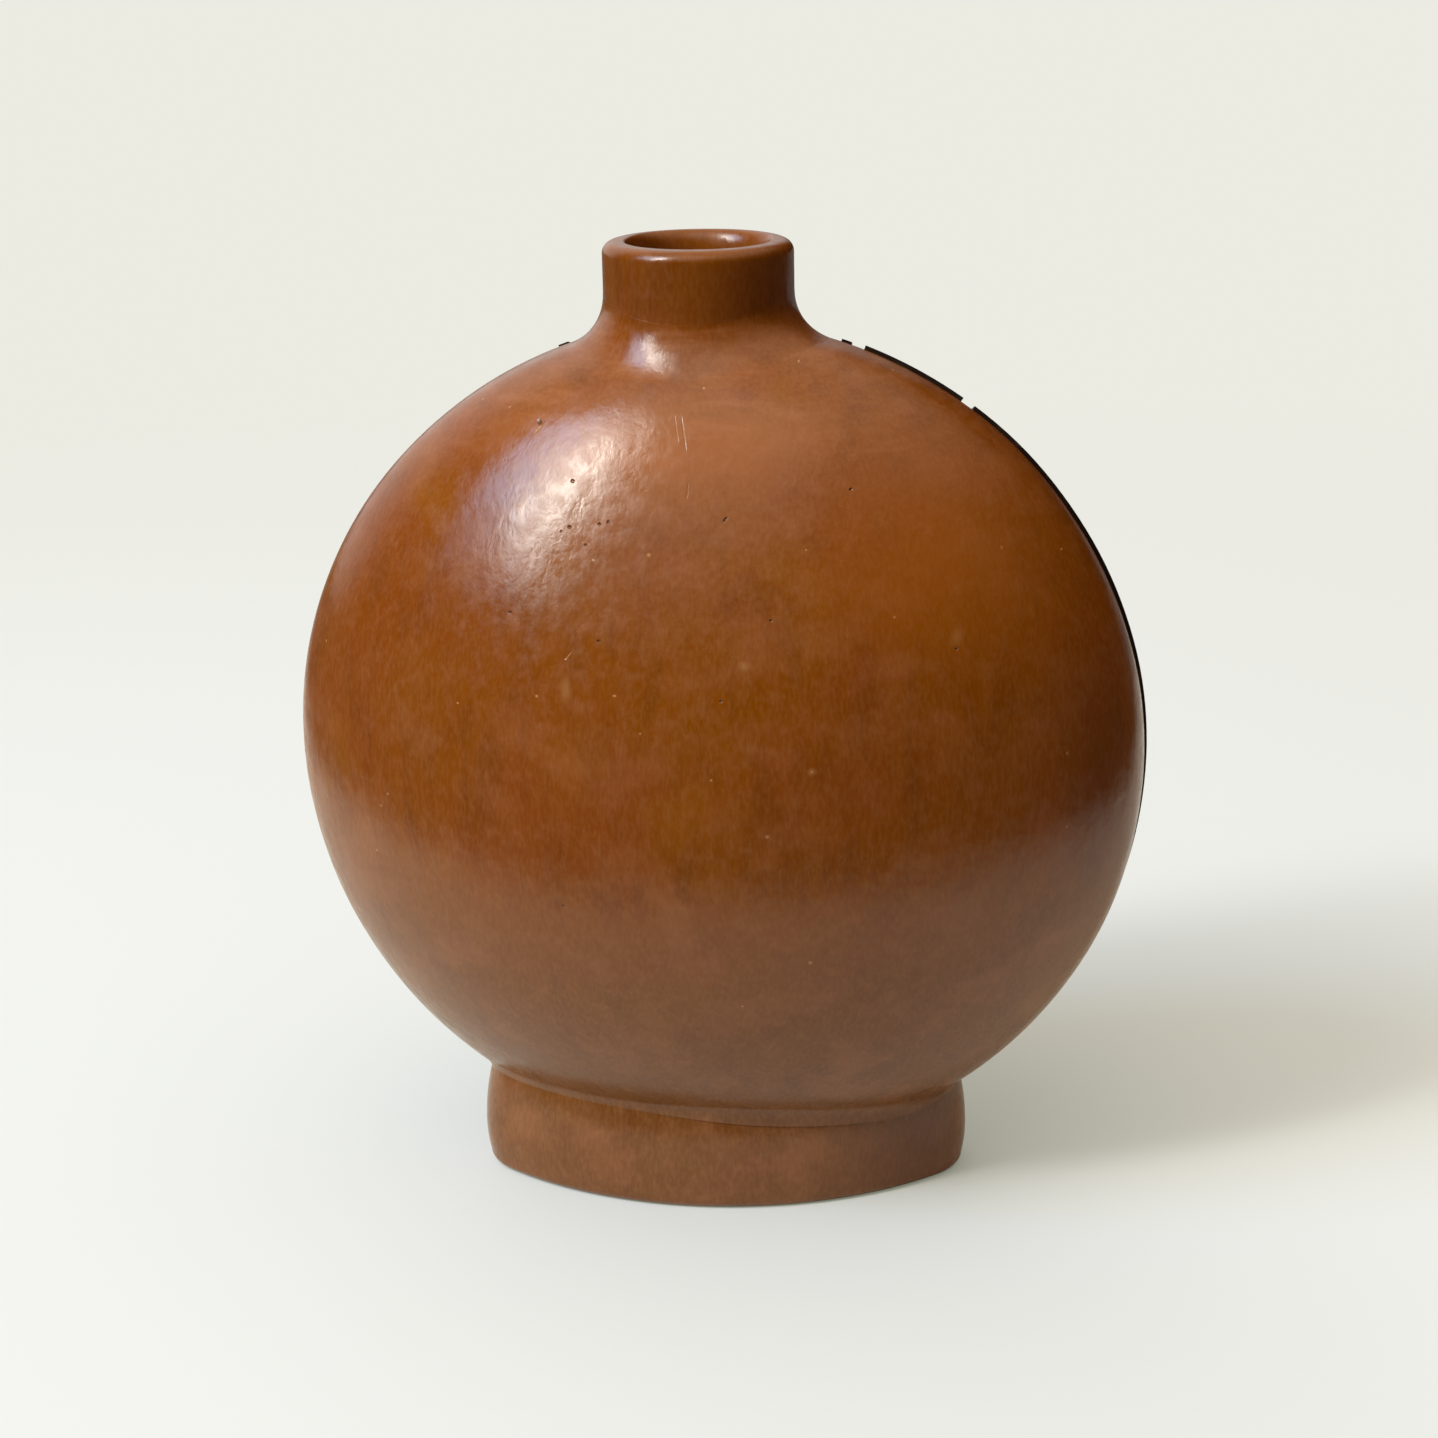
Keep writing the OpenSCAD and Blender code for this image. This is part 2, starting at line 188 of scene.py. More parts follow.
@functools.lru_cache(maxsize=64)
def section(body_r, half_depth, ease_from, ease_to, grow):
    """Body's section, grown by a distance: radius and depth at even tilts, from the dome to the edge.

    The radius of curvature eases from the dome's to the edge's, so no line shows in the gloss, and
    both follow from the body's radius and half depth.
    """
    step = math.pi / 2 / TILTS
    tilts = [(k + 0.5) * step for k in range(TILTS)]
    edge = [smooth((t - ease_from) / (ease_to - ease_from)) for t in tilts]
    dome_out = sum((1 - e) * math.cos(t) for e, t in zip(edge, tilts, strict=True)) * step
    edge_out = sum(e * math.cos(t) for e, t in zip(edge, tilts, strict=True)) * step
    dome_in = sum((1 - e) * math.sin(t) for e, t in zip(edge, tilts, strict=True)) * step
    edge_in = sum(e * math.sin(t) for e, t in zip(edge, tilts, strict=True)) * step
    spread = dome_out * edge_in - dome_in * edge_out
    dome_r = (body_r * edge_in - half_depth * edge_out) / spread
    edge_r = (half_depth * dome_out - body_r * dome_in) / spread
    r, d = 0.0, half_depth
    radii, depths = [0.0], [half_depth + grow]
    for k, (e, t) in enumerate(zip(edge, tilts, strict=True)):
        bend = (dome_r + (edge_r - dome_r) * e) * step
        r += bend * math.cos(t)
        d -= bend * math.sin(t)
        radii.append(r + grow * math.sin((k + 1) * step))
        depths.append(d + grow * math.cos((k + 1) * step))
    return radii, depths, [-d for d in depths]


def body_section(grow):
    s = sizes()
    return section(s.body_r, s.half_depth, s.ease_from, s.ease_to, grow)


def section_point(tilt, grow=0.0):
    """Radius, depth on the body's section where the normal leans this far from the level axis."""
    radii, depths, _ = body_section(grow)
    at = tilt / (math.pi / 2) * TILTS
    k = min(int(at), TILTS - 1)
    return (radii[k] + (radii[k + 1] - radii[k]) * (at - k),
            depths[k] + (depths[k + 1] - depths[k]) * (at - k))


def body_radius(depth, grow=0.0):
    """Radius of the body, grown by a distance, at a depth off the seam."""
    radii, _, rising = body_section(grow)
    k = min(max(bisect_left(rising, -abs(depth)), 1), TILTS)
    share = (-abs(depth) - rising[k - 1]) / (rising[k] - rising[k - 1])
    return radii[k - 1] + (radii[k] - radii[k - 1]) * share


def fuller(y, lean):
    """How much fuller than turned the front's shoulder is, where the radius leans this cosine from plumb."""
    s = sizes()
    rise = smooth(-y / s.shoulder_near)
    fall = 1 - smooth((-y - s.shoulder_near) / (s.shoulder_far - s.shoulder_near))
    return s.shoulder * rise * fall * max(0.0, lean) ** 2


def body_side(x, y, side, grow=0.0):
    """Height of the body above (1) or below (-1) its middle, at a point in plan."""
    turned = body_radius(y, grow)
    r = turned
    if side > 0:
        for _ in range(4):
            r = turned + fuller(y, math.sqrt(max(0.0, r * r - x * x)) / r)
    return body_z() + side * math.sqrt(r * r - x * x)


def hand_wobble(p):
    """Slow wander of a hand-formed surface, the same for every piece, none at the table."""
    amount = sizes().wobble
    slow = noise.noise_vector(p / (70 * MM)) + 0.4 * noise.noise_vector(p / (28 * MM) + Vector((9, 2, 5)))
    level = min(1.0, max(0.0, p.z / (12 * MM)))
    slow.z *= level
    return slow * amount


def deselect():
    if bpy.context.object and bpy.context.object.mode != "OBJECT":
        bpy.ops.object.mode_set(mode="OBJECT")
    bpy.ops.object.select_all(action="DESELECT")


def name_piece(name):
    piece = bpy.context.object
    piece.name = name
    piece.data.name = name
    return piece


def trace(points, name):
    """A line of edges through these points, drawn by extruding one vertex."""
    deselect()
    bpy.ops.mesh.primitive_plane_add(size=MM, location=(0, 0, 0))
    piece = name_piece(name)
    bpy.ops.object.mode_set(mode="EDIT")
    bpy.ops.mesh.select_all(action="SELECT")
    bpy.ops.mesh.merge(type="CENTER")
    bpy.ops.transform.translate(value=points[0])
    for here, there in zip(points, points[1:], strict=False):
        bpy.ops.mesh.extrude_region_move(TRANSFORM_OT_translate={"value": Vector(there) - Vector(here)})
    return piece


def spun(points, name, centre, axis, steps):
    """The traced line turned once about an axis, its doubles merged and its faces outwards."""
    piece = trace(points, name)
    bpy.ops.mesh.select_all(action="SELECT")
    bpy.ops.mesh.spin(steps=steps, angle=2 * math.pi, center=centre, axis=axis)
    bpy.ops.mesh.select_all(action="SELECT")
    bpy.ops.mesh.remove_doubles(threshold=0.002 * MM)
    bpy.ops.mesh.normals_make_consistent(inside=False)
    bpy.ops.object.mode_set(mode="OBJECT")
    return piece


def wrapped(rows, columns, place, name):
    """A grid bent round into a closed ring: place(row, column) gives each point."""
    deselect()
    bpy.ops.mesh.primitive_grid_add(x_subdivisions=rows, y_subdivisions=columns, size=1, location=(0, 0, 0))
    piece = name_piece(name)
    for v in piece.data.vertices:
        row = round((v.co.x + 0.5) * rows) % rows
        column = round((v.co.y + 0.5) * columns) % columns
        v.co = place(row, column)
    bpy.ops.object.mode_set(mode="EDIT")
    bpy.ops.mesh.select_all(action="SELECT")
    bpy.ops.mesh.remove_doubles(threshold=0.002 * MM)
    bpy.ops.mesh.normals_make_consistent(inside=False)
    bpy.ops.object.mode_set(mode="OBJECT")
    return piece


def cut_round(piece, radius, low, high):
    """Drills the neck's bore through a piece, with a cylinder that is then removed."""
    deselect()
    bpy.ops.mesh.primitive_cylinder_add(
        vertices=96, radius=radius, depth=high - low, location=(NECK_X, 0, (low + high) / 2)
    )
    drill = name_piece("bore_drill")
    deselect()
    bpy.context.view_layer.objects.active = piece
    piece.select_set(True)
    bpy.ops.object.modifier_add(type="BOOLEAN")
    modifier = piece.modifiers[-1]
    modifier.operation = "DIFFERENCE"
    modifier.solver = "EXACT"
    modifier.object = drill
    bpy.ops.object.modifier_apply(modifier=modifier.name)
    bpy.data.objects.remove(drill)


def merged_copy(name):
    """Copy of a CAD node with its doubled points and slivers merged, to shade smoothly."""
    source = frame["nodes"][name]
    deselect()
    piece = source.copy()
    piece.data = source.data.copy()
    bpy.context.scene.collection.objects.link(piece)
    piece.parent = None
    piece.name = name + "_merged"
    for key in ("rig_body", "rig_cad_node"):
        if key in piece:
            del piece[key]
    bpy.context.view_layer.objects.active = piece
    piece.select_set(True)
    bpy.ops.object.mode_set(mode="EDIT")
    bpy.ops.mesh.select_all(action="SELECT")
    bpy.ops.mesh.remove_doubles(threshold=0.01 * MM)
    bpy.ops.mesh.dissolve_degenerate(threshold=0.05 * MM)
    bpy.ops.object.mode_set(mode="OBJECT")
    return piece


def finish_piece(piece, material, body, slot, *nodes, angle=35, inner=None, inside=None):
    """Hand wobble, smooth shading, materials, and the CAD nodes that the piece stands for."""
    for v in piece.data.vertices:
        v.co += hand_wobble(v.co)
    deselect()
    bpy.context.view_layer.objects.active = piece
    piece.select_set(True)
    bpy.ops.object.shade_smooth_by_angle(angle=math.radians(angle))
    piece.data.materials.clear()
    piece.data.materials.append(material)
    if inner:
        piece.data.materials.append(inner)
        for face in piece.data.polygons:
            face.material_index = 1 if inside(face.center) else 0
    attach(piece, body)
    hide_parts(*nodes)


def add_node(tree, kind, settings=None, links=None):
    """One node, with its settings (attributes, or socket values by name) and its incoming links."""
    made = tree.nodes.new(kind)
    for key, value in (settings or {}).items():
        if isinstance(key, str) and hasattr(made, key) and key not in made.inputs:
            setattr(made, key, value)
        else:
            made.inputs[key].default_value = value
    for key, source in (links or {}).items():
        tree.links.new(source, made.inputs[key])
    return made


def ramp(tree, factor, low, high, low_value=0.0, high_value=1.0):
    """Smooth step of a factor from one value to another."""
    made = add_node(tree, "ShaderNodeMapRange", {
        "interpolation_type": "SMOOTHSTEP", "From Min": low, "From Max": high,
        "To Min": low_value, "To Max": high_value,
    }, {"Value": factor})
    return made.outputs["Result"]


def mix_colour(tree, factor, first, second, blend="MIX"):
    """Colour mix: first and second are colours or sockets."""
    made = tree.nodes.new("ShaderNodeMix")
    made.data_type = "RGBA"
    made.blend_type = blend
    for index, value in ((0, factor), (6, first), (7, second)):
        if isinstance(value, bpy.types.NodeSocket):
            tree.links.new(value, made.inputs[index])
        else:
            made.inputs[index].default_value = value
    return made.outputs[2]


def grain(tree, where, size_mm, detail=3.0, stretch=(1, 1, 1), offset=0.0):
    """Noise whose features are about this many millimetres, stretched along the axes."""
    scale = [1 / (size_mm * MM * s) for s in stretch]
    mapped = add_node(tree, "ShaderNodeMapping", {"Scale": scale, "Location": (offset, offset, offset)},
                      {"Vector": where})
    made = add_node(tree, "ShaderNodeTexNoise", {"Scale": 1.0, "Detail": detail, "Roughness": 0.55},
                    {"Vector": mapped.outputs[0]})
    return made.outputs["Fac"]


def new_material(name):
    material = bpy.data.materials.new(name)
    material.use_nodes = True
    tree = material.node_tree
    tree.nodes.clear()
    shader = tree.nodes.new("ShaderNodeBsdfPrincipled")
    output = tree.nodes.new("ShaderNodeOutputMaterial")
    tree.links.new(shader.outputs[0], output.inputs["Surface"])
    where = tree.nodes.new("ShaderNodeTexCoord").outputs["Object"]
    return material, tree, shader, where


# Marks on the front: x, z, half width, half height in millimetres, and turn in degrees
PITS = (
    (-24.5, 183, 0.6, 0.5, 0), (-24.5, 173.5, 0.6, 0.5, 20), (-17.5, 174.5, 0.5, 0.45, 0),
    (-15.5, 175, 0.4, 0.6, 20), (-20.5, 170, 0.4, 0.4, 0), (-26.5, 172.5, 0.35, 0.35, 0),
    (-38, 154.5, 0.6, 0.4, 0), (-16.5, 150, 0.45, 0.45, 0), (22, 155, 0.5, 0.35, 30),
    (62, 146.5, 0.5, 0.45, 0), (11.5, 138, 0.4, 0.4, 0), (38, 181.5, 0.5, 0.45, 0), (11, 176, 0.4, 0.9, 40),
    (-34, 194.3, 0.9, 0.7, 30), (-26, 88, 0.5, 0.35, 30),
)
PALE_SPECKS = (
    (-31, 137, 0.5, 0.4, 0), (-12.5, 138.5, 0.6, 0.35, 0), (-18.5, 167, 0.5, 0.3, 20), (-51, 133, 0.4, 0.3, 0),
    (-76.5, 91.5, 0.35, 0.4, 0), (-71.5, 107.5, 0.35, 0.35, 0), (9.5, 120.5, 0.35, 0.35, 0),
    (29, 169.5, 0.35, 0.3, 0), (48.5, 154.5, 0.35, 0.35, 0), (31.5, 122, 0.4, 0.3, 0), (83.5, 163.5, 0.35, 0.35, 0),
    (-6.5, 130.5, 0.3, 0.3, 0), (14, 63, 0.35, 0.3, 0), (4, 202.5, 0.4, 0.3, 0), (24, 207, 0.3, 0.3, 0),
)
SCRATCHES = (
    (0.5, 193.5, 0.28, 4.2, -14), (-1.3, 194.5, 0.24, 3.2, -14), (2.3, 182, 0.18, 1.6, 0),
    (-23.5, 146.5, 0.3, 1.6, 40), (-34, 193, 0.35, 1.5, 40),
)
# Painted shade: dark patches on the foot's right and on the body's right edge, the side away from the window
PAINTED_SHADE_PATCHES = ((52, 12, 26, 18, 0), (95, 108, 15, 45, 0))
# Painted light: lighter patches on the upper right of the body and just below the neck
PAINTED_LIGHT_PATCHES = ((58, 166, 46, 34, 35), (-5, 190, 60, 14, 0))
SMUDGES = ((16.5, 145.5, 2.1, 1.5, 30), (31.5, 122, 1.5, 1.3, 0), (62, 149, 2.2, 3, 20), (-24, 139, 2, 4.5, 0))


def marks(tree, where, spots, core=0.4):
    """Mask of small oval marks on the front, 1 within this share of each mark's half sizes."""
    total = None
    for x, z, half_wide, half_high, turn in spots:
        mapped = add_node(tree, "ShaderNodeMapping", {
            "vector_type": "TEXTURE", "Location": (x * MM, 0, z * MM), "Rotation": (0, math.radians(turn), 0),
            "Scale": (half_wide * MM, 10, half_high * MM),
        }, {"Vector": where})
        away = add_node(tree, "ShaderNodeVectorMath", {"operation": "LENGTH"}, {0: mapped.outputs[0]})
        mask = ramp(tree, away.outputs["Value"], 1.0, core)
        total = mask if total is None else add_node(
            tree, "ShaderNodeMath", {"operation": "MAXIMUM"}, {0: total, 1: mask}).outputs[0]
    front = ramp(tree, add_node(tree, "ShaderNodeSeparateXYZ", links={0: where}).outputs["Y"], 0.0, -0.004)
    return add_node(tree, "ShaderNodeMath", {"operation": "MULTIPLY"}, {0: total, 1: front}).outputs[0]


def burnished_terracotta():
    """Terracotta rubbed with a pebble while leather hard: glossy, with upright strokes, pits and grit, painted shade
    on the foot's right and the body's right edge, and painted light on the upper body.
    """
    material, tree, shader, where = new_material("burnished_terracotta")
    c = colours()
    height = add_node(tree, "ShaderNodeSeparateXYZ", links={0: where}).outputs["Z"]
    cloud = grain(tree, where, 55, 3)
    patch = grain(tree, where, 30, 4, offset=3.7)
    stroke = grain(tree, where, 2.4, 3, stretch=(1, 1, 12))
    rub = grain(tree, where, 8, 3, stretch=(1, 1, 3), offset=8.1)
    dab = grain(tree, where, 3.4, 3, stretch=(1, 1, 1.2), offset=5.3)
    veil = grain(tree, where, 13, 6, stretch=(1.4, 1.4, 1), offset=2.2)
    fine = grain(tree, where, 0.8, 2, stretch=(1, 1, 3))
    tone = mix_colour(tree, ramp(tree, cloud, 0.4, 0.68, 0.0, 0.5), list(c.clay), list(c.clay_red))
    tone = mix_colour(tree, ramp(tree, patch, 0.5, 0.72, 0.0, 0.7), tone, list(c.clay_warm))
    # Browner and darker towards the bottom of the body
    tone = mix_colour(tree, ramp(tree, height, 0.11, 0.03, 0.0, 0.8), tone, list(c.clay_brown))
    tone = mix_colour(tree, ramp(tree, stroke, 0.45, 0.75, 0.0, 0.1), tone, list(c.clay_dark_and_painted_shade))
    tone = mix_colour(tree, ramp(tree, rub, 0.48, 0.7, 0.0, 0.26), tone, list(c.clay_dark_and_painted_shade))
    tone = mix_colour(tree, ramp(tree, veil, 0.46, 0.7, 0.0, 0.24), tone, list(c.veil))
    tone = mix_colour(tree, ramp(tree, dab, 0.5, 0.72, 0.0, 0.14), tone, list(c.veil))
    ring = grain(tree, where, 2.6, 4, stretch=(7, 7, 1), offset=6.1)
    high = add_node(tree, "ShaderNodeMath", {"operation": "MULTIPLY"},
                    {0: ramp(tree, height, 0.175, 0.2), 1: ramp(tree, height, 0.22, 0.212)}).outputs[0]
    for low_edge, high_edge, share, shade in ((0.5, 0.68, 0.3, c.veil), (0.47, 0.3, 0.22, c.clay_dark_and_painted_shade)):
        amount = add_node(tree, "ShaderNodeMath", {"operation": "MULTIPLY"},
                          {0: ramp(tree, ring, low_edge, high_edge, 0.0, share), 1: high}).outputs[0]
        tone = mix_colour(tree, amount, tone, list(shade))
    tone = mix_colour(tree, ramp(tree, fine, 0.35, 0.75, 0.0, 0.12), tone, list(c.speck))
    # Darker on the neck above the collar
    tone = mix_colour(tree, ramp(tree, height, 0.212, 0.22, 0.0, 0.22), tone, list(c.clay_dark_and_painted_shade))
    grit = add_node(tree, "ShaderNodeTexVoronoi", {"feature": "F1", "Scale": 1 / (16 * MM)}, {"Vector": where})
    tone = mix_colour(tree, ramp(tree, grit.outputs["Distance"], 0.035, 0.02, 0.0, 0.7), tone, list(c.speck))
    pale = marks(tree, where, PALE_SPECKS)
    tone = mix_colour(tree, pale, tone, list(c.speck))
    smudge = add_node(tree, "ShaderNodeMath", {"operation": "MULTIPLY", 1: 0.4},
                      {0: marks(tree, where, SMUDGES, 0.0)}).outputs[0]
    tone = mix_colour(tree, smudge, tone, list(c.speck))
    # Painted light: patches of the upper body are mixed lighter
    bright = add_node(tree, "ShaderNodeMath", {"operation": "MULTIPLY", 1: 0.55},
                      {0: marks(tree, where, PAINTED_LIGHT_PATCHES, 0.0)}).outputs[0]
    tone = mix_colour(tree, bright, tone, list(c.clay_painted_light))
    # Painted shade: the foot's right and the body's right edge are mixed darker
    painted_shade = add_node(tree, "ShaderNodeMath", {"operation": "MULTIPLY", 1: 0.55},
                          {0: marks(tree, where, PAINTED_SHADE_PATCHES, 0.0)}).outputs[0]
    tone = mix_colour(tree, painted_shade, tone, list(c.clay_dark_and_painted_shade))
    scratch = marks(tree, where, SCRATCHES)
    strength = add_node(tree, "ShaderNodeMath", {"operation": "MULTIPLY", 1: 0.45}, {0: scratch}).outputs[0]
    tone = mix_colour(tree, strength, tone, list(c.speck))
    pit = marks(tree, where, PITS, 0.2)
    tone = mix_colour(tree, pit, tone, list(c.pit))
    tree.links.new(tone, shader.inputs["Base Color"])
    tree.links.new(ramp(tree, dab, 0.35, 0.65, 0.17, 0.27), shader.inputs["Roughness"])
    shader.inputs["IOR"].default_value = 1.5
    bumps = ((rub, 0.1, 1.0), (dab, 0.1, 1.0), (stroke, 0.02, 1.0), (fine, 0.012, 1.0), (pit, 0.2, -1.0),
             (scratch, 0.08, -1.0))
    normal = None
    for source, depth, way in bumps:
        links = {"Height": source} | ({"Normal": normal} if normal else {})
        made = add_node(tree, "ShaderNodeBump", {"Strength": 1.0, "Distance": depth * MM, "invert": way < 0}, links)
        normal = made.outputs[0]
    tree.links.new(normal, shader.inputs["Normal"])
    return material


def raw_terracotta():
    """The same clay as the fingers left it inside: matt, with a fine grit."""
    material, tree, shader, where = new_material("raw_terracotta")
    c = colours()
    cloud = grain(tree, where, 20, 4)
    grit = grain(tree, where, 0.8, 2)
    tone = mix_colour(tree, ramp(tree, cloud, 0.35, 0.7), list(c.raw), list(c.clay_brown))
    tone = mix_colour(tree, ramp(tree, grit, 0.35, 0.7, 0.0, 0.2), tone, list(c.speck))
    tree.links.new(tone, shader.inputs["Base Color"])
    shader.inputs["Roughness"].default_value = 0.8
    bump = add_node(tree, "ShaderNodeBump", {"Strength": 0.5, "Distance": 0.15 * MM}, {"Height": grit})
    tree.links.new(bump.outputs[0], shader.inputs["Normal"])
    return material


def black_slip():
    """Black slip burnished with the body, worn brown where it is handled."""
    material, tree, shader, where = new_material("burnished_black_slip")
    c = colours()
    wear = grain(tree, where, 6, 4)
    tone = mix_colour(tree, ramp(tree, wear, 0.58, 0.8, 0.0, 0.5), list(c.slip), list(c.clay_brown))
    tree.links.new(tone, shader.inputs["Base Color"])
    rough = ramp(tree, wear, 0.3, 0.8, 0.3, 0.5)
    tree.links.new(rough, shader.inputs["Roughness"])
    bump = add_node(tree, "ShaderNodeBump", {"Strength": 0.3, "Distance": 0.1 * MM}, {"Height": wear})
    tree.links.new(bump.outputs[0], shader.inputs["Normal"])
    return material


def material(name):
    """A finish by name, made once."""
    makers = {
        "burnished_terracotta": burnished_terracotta,
        "raw_terracotta": raw_terracotta,
        "burnished_black_slip": black_slip,
    }
    return bpy.data.materials.get(name) or makers[name]()


class FLASK_OT_shells(bpy.types.Operator):
    """Spins the two halves of the body and drills the bore through them"""

    bl_idname = "flask.shells"
    bl_label = "Body shells"

    def execute(self, context):
        s = sizes()
        half_turn = math.pi / 2
        outer = [half_turn * k / 72 for k in range(72)] + [half_turn * 0.998, half_turn]
        inner = [half_turn * k / 30 for k in range(31)]
        for name, side in (("front_shell_smooth", -1), ("back_shell_smooth", 1)):
            line = [section_point(t) for t in outer]
            line += [section_point(t, -s.wall) for t in reversed(inner)]
            points = [(r, side * d, body_z()) for r, d in line]
            piece = spun(points, name, (0, 0, body_z()), (0, 1, 0), s.turns)
            for v in piece.data.vertices:
                r = math.hypot(v.co.x, v.co.z - body_z())
                if r > MM:
                    out = 1 + fuller(v.co.y, (v.co.z - body_z()) / r) / r
                    v.co = (v.co.x * out, v.co.y, body_z() + (v.co.z - body_z()) * out)
            cut_round(piece, NECK_R - s.neck_wall + s.hole_ease, body_z() + s.body_r / 2, LIP_TOP)
            centre = Vector((0, 0, body_z()))

            def inside(p, centre=centre):
                q = p - centre
                middle = -0.5 * s.wall
                deep = abs(q.y) < s.half_depth + middle
                return deep and math.hypot(q.x, q.z) < body_radius(q.y, middle)

            finish_piece(piece, material("burnished_terracotta"), "root", "body_clay",
                         name.replace("_smooth", ""), inner=material("raw_terracotta"), inside=inside)
        return {"FINISHED"}


class FLASK_OT_neck(bpy.types.Operator):
    """Spins the neck and the lip that ends it"""

    bl_idname = "flask.neck"
    bl_label = "Neck and lip"

    def execute(self, context):
        s = sizes()
        mouth_r = NECK_R - s.neck_wall
        turns, wall_steps, seat_steps = 144, 12, 4

        def place(row, column):
            angle = 2 * math.pi * row / turns
            outer = column <= wall_steps
            r = NECK_R
            if wall_steps < column < wall_steps + seat_steps:
                r -= s.neck_wall * (column - wall_steps) / seat_steps
            elif not outer:
                r = mouth_r
            x, y = NECK_X + r * math.cos(angle), r * math.sin(angle)
            seat = body_side(x, y, 1, SUNK)
            up = (wall_steps - column) / wall_steps if outer else (column - wall_steps - seat_steps) / wall_steps
            return x, y, seat + (LIP_BASE - seat) * max(0.0, up)

        tube = wrapped(turns, 2 * wall_steps + seat_steps + 1, place, "neck_smooth")
        finish_piece(tube, material("burnished_terracotta"), "root", "neck_clay", "neck_tube")
        corner_steps = 10

        def lip_place(row, column):
            """Down the outside from the top's middle, up the inside, which flares at the back."""
            angle = 2 * math.pi * row / turns
            back = smooth(math.sin(angle))
            inner_wide = s.lip_inner + s.lip_flare * back
            inner_high = s.lip_inner + s.lip_ease * back
            if column <= corner_steps:
                a = math.pi / 2 * column / corner_steps
                r = NECK_R - s.lip_outer * (1 - math.sin(a))
                z = LIP_TOP - s.lip_outer * (1 - math.cos(a))
            elif column == corner_steps + 1:
                r, z = NECK_R, LIP_BASE
            elif column == corner_steps + 2:
                r, z = mouth_r, LIP_BASE
            else:
                a = math.pi / 2 * (column - corner_steps - 3) / corner_steps
                r = mouth_r + inner_wide * (1 - math.cos(a))
                z = LIP_TOP - inner_high * (1 - math.sin(a))
            return NECK_X + r * math.cos(angle), r * math.sin(angle), z

        lip = wrapped(turns, 2 * corner_steps + 4, lip_place, "lip_smooth")
        finish_piece(lip, material("burnished_terracotta"), "root", "neck_clay", "lip_coil", angle=50)
        return {"FINISHED"}


def bezier(p, t):
    a, b, c, d = (Vector(q) for q in p)
    return a * (1 - t) ** 3 + b * 3 * t * (1 - t) ** 2 + c * 3 * t * t * (1 - t) + d * t**3


class FLASK_OT_collar(bpy.types.Operator):
    """Lofts the collar from the straight neck out onto the body"""

    bl_idname = "flask.collar"
    bl_label = "Neck collar"

    def execute(self, context):
        s = sizes()
        steps, seat, turns = 36, 6, 144

        def at(angle, r, grow):
            return body_side(NECK_X + r * math.cos(angle), r * math.sin(angle), 1, grow)

        def place(row, column):
            angle = 2 * math.pi * row / turns
            across = math.sin(angle) ** 2
            front = across if math.sin(angle) < 0 else 0.0
            reach = s.collar_side + (s.collar_face - s.collar_side) * across
            reach += (s.collar_front - s.collar_face) * front
            top = body_z() + s.body_r + s.collar_rise + (s.collar_low - s.collar_rise) * front
            drop, pull = s.collar_drop * (1 - 0.75 * front), reach * s.collar_share
            end_r = NECK_R + reach
            end_z = at(angle, end_r, SUNK)
            slope = (at(angle, end_r + MM / 2, SUNK) - at(angle, end_r - MM / 2, SUNK)) / MM
            ridge = s.ridge * bump(angle, math.radians(256), math.radians(36))
            top_r, inner_r = NECK_R - SUNK + ridge, NECK_R - MM
            curve = [(top_r, top), (top_r, top - drop), (end_r - pull, end_z - slope * pull), (end_r, end_z)]
            if column <= steps:
                r, z = bezier(curve, column / steps)
            elif column <= steps + seat:
                r = end_r + (inner_r - end_r) * (column - steps) / seat
                z = at(angle, r, -MM)
            else:
                r, z = inner_r, top
            return NECK_X + r * math.cos(angle), r * math.sin(angle), z

        piece = wrapped(turns, steps + seat + 2, place, "collar_smooth")
        finish_piece(piece, material("burnished_terracotta"), "root", "neck_clay", "neck_collar", angle=60)
        return {"FINISHED"}


def foot_plan(share):
    """Point and outward direction on the foot's plan at a share of the way round."""
    s = sizes()
    a, b, end_r = s.foot_half_length, s.foot_half_width, s.foot_end_r
    flank_r = (a * a + b * b - 2 * a * end_r) / (2 * (b - end_r))
    flank_centre = flank_r - b
    end_centre = a - end_r
    half = math.atan2(end_centre, flank_centre)
    end_half = math.pi / 2 - half
    arcs = [(0, flank_centre, flank_r, -math.pi / 2 - half, 2 * half),
            (end_centre, 0, end_r, -end_half, 2 * end_half),
            (0, -flank_centre, flank_r, math.pi / 2 - half, 2 * half),
            (-end_centre, 0, end_r, math.pi - end_half, 2 * end_half)]
    total = sum(r * sweep for _, _, r, _, sweep in arcs)
    along = share % 1.0 * total
    for x, y, r, start, sweep in arcs:
        if along <= r * sweep:
            angle = start + along / r
            return Vector((x + r * math.cos(angle), y + r * math.sin(angle))), angle
        along -= r * sweep
    return Vector((a, 0)), 0.0


def foot_point(share, out, z):
    """The plan's point moved out by a distance, turned with the foot, at a height."""
    s = sizes()
    spot, angle = foot_plan(share)
    p = spot + Vector((math.cos(angle), math.sin(angle))) * out
    p.rotate(Matrix.Rotation(s.foot_turn, 2))
    return Vector((p.x, p.y + s.foot_back, z))


def under_body(share, out, grow=0.0):
    p = foot_point(share, out, 0)
    return body_side(p.x, p.y, -1, grow)


def foot_inset(z):
    """How far the foot's wall draws in at a height, barrelled about its widest."""
    r = (33.6 if z < sizes().foot_widest else 60) * MM
    return r - math.sqrt(r * r - (z - sizes().foot_widest) ** 2)


def crease_out(share):
    out = 0.0
    for _ in range(6):
        out = -foot_inset(under_body(share, out))
    return out


